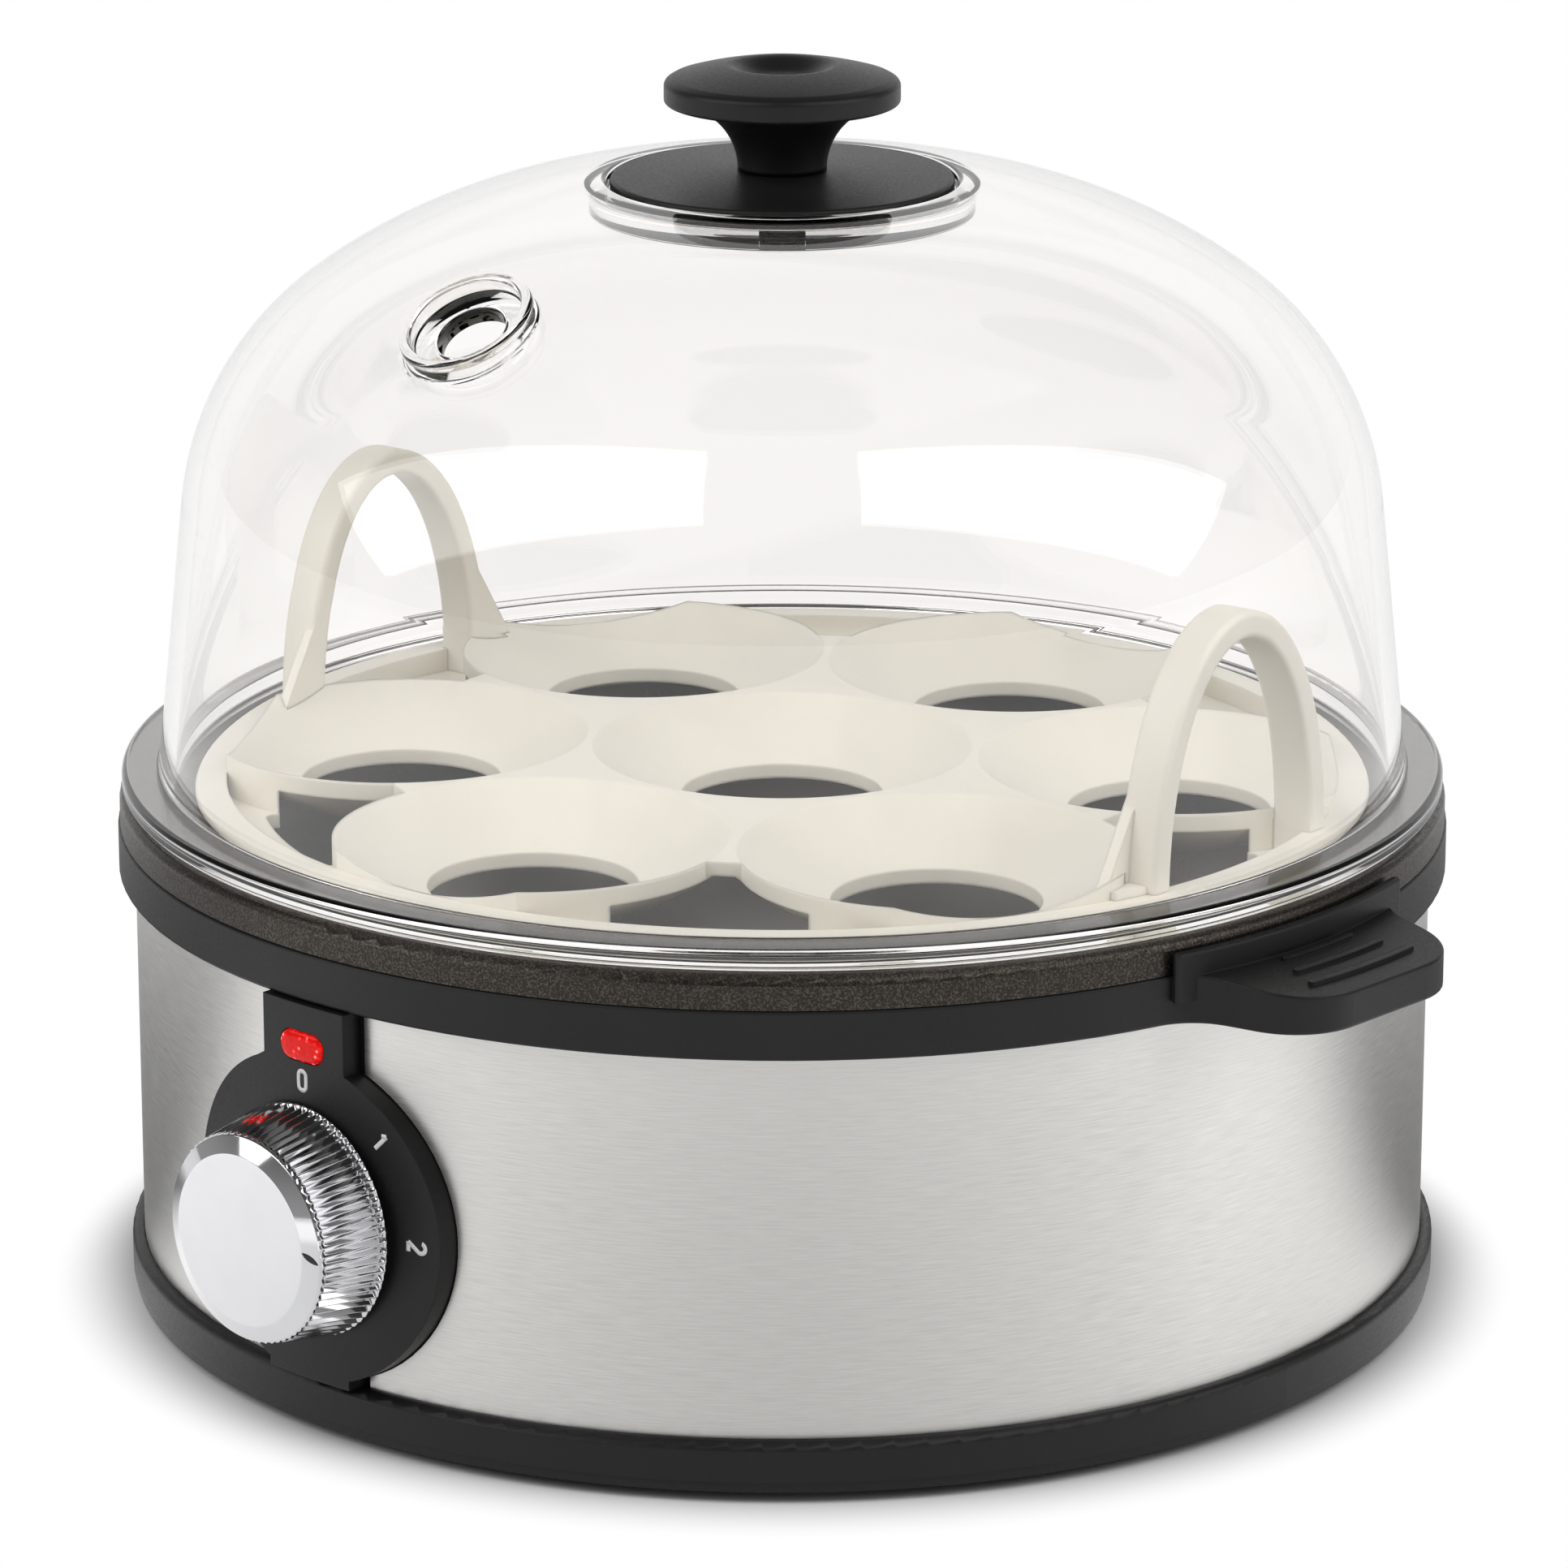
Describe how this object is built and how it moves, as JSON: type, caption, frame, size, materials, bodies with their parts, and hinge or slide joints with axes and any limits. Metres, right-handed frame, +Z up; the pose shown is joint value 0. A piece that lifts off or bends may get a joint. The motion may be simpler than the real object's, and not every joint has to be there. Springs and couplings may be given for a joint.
{
  "type": "electric egg cooker",
  "caption": "Round electric egg cooker with a clear domed lid, dished egg tray with lifting arches, water pan, steel-banded base and a rotary dial.",
  "frame": {"origin": "on the body's axis, at the plane that the feet stand on", "axes": "+Z up along the body's axis, the control panel faces -Y, the lifting tabs point along +X and -X"},
  "size_m": [0.1912, 0.1753, 0.1533],
  "materials": {
    "black_plastic": "satin moulded black",
    "dark_plastic": "moulded heat-resistant plastic",
    "rubber": "matte",
    "zinc_steel": "zinc plated",
    "brushed_steel": "brushed round the body",
    "nonstick_coating": "dark metallic non-stick coat",
    "sheath_steel": "dull oxide",
    "aluminised_steel": "plain sheet",
    "brass": "tinned brass",
    "red_lens": "clear red",
    "lamp_glass": "clear glass",
    "chrome": "mirror plated plastic",
    "ivory_plastic": "moulded ivory",
    "clear_plastic": "clear moulded",
    "block_plastic": "natural nylon",
    "lead_brown": "silicone sleeve",
    "lead_blue": "silicone sleeve",
    "lead_green": "silicone sleeve"
  },
  "bodies": {
    "base": {"bottom_cover": "black_plastic", "rubber_feet": "rubber", "cover_screws": "zinc_steel", "steel_band": "brushed_steel", "top_ring": "black_plastic", "heating_pan": "nonstick_coating", "pan_seal": "rubber", "pan_screws": "zinc_steel", "heating_element": "sheath_steel", "thermostat": "dark_plastic", "thermostat_bracket": "zinc_steel", "bracket_screws": "zinc_steel", "heat_shield": "aluminised_steel", "shield_screws": "zinc_steel", "shield_washers": "zinc_steel", "earth_lug": "brass", "thermal_fuse": "brass", "fuse_clip": "zinc_steel", "control_panel": "black_plastic", "lamp_lens": "red_lens", "lamp_holder": "dark_plastic", "neon_lamp": "lamp_glass", "rotary_switch": "dark_plastic", "switch_nut": "zinc_steel", "cord_gland": "rubber", "terminal_block": "block_plastic", "lead_supply": "lead_brown", "lead_switched": "lead_brown", "lead_fused": "lead_brown", "lead_heater": "lead_brown", "lead_return": "lead_blue", "lead_earth": "lead_green"},
    "tray": {"egg_tray": "ivory_plastic", "tray_arches": "ivory_plastic"},
    "lid": {"lid_dome": "clear_plastic", "lid_knob_base": "black_plastic", "lid_knob": "black_plastic", "lid_washer": "zinc_steel", "lid_screw": "zinc_steel"},
    "dial": {"dial_knob": "chrome", "switch_shaft": "zinc_steel", "knob_clip": "zinc_steel"}
  },
  "joints": [
    {"name": "dial_turn", "type": "hinge", "parent": "base", "child": "dial", "pos_m": [0, -0.083, 0.02785], "axis": [0, -1, 0], "range_deg": [0, 90]},
    {"name": "tray_lift", "type": "slide", "parent": "base", "child": "tray", "axis": [0, 0, 1], "range_m": [0, 0.1]},
    {"name": "lid_lift", "type": "slide", "parent": "tray", "child": "lid", "axis": [0, 0, 1], "range_m": [0, 0.15]}
  ]
}
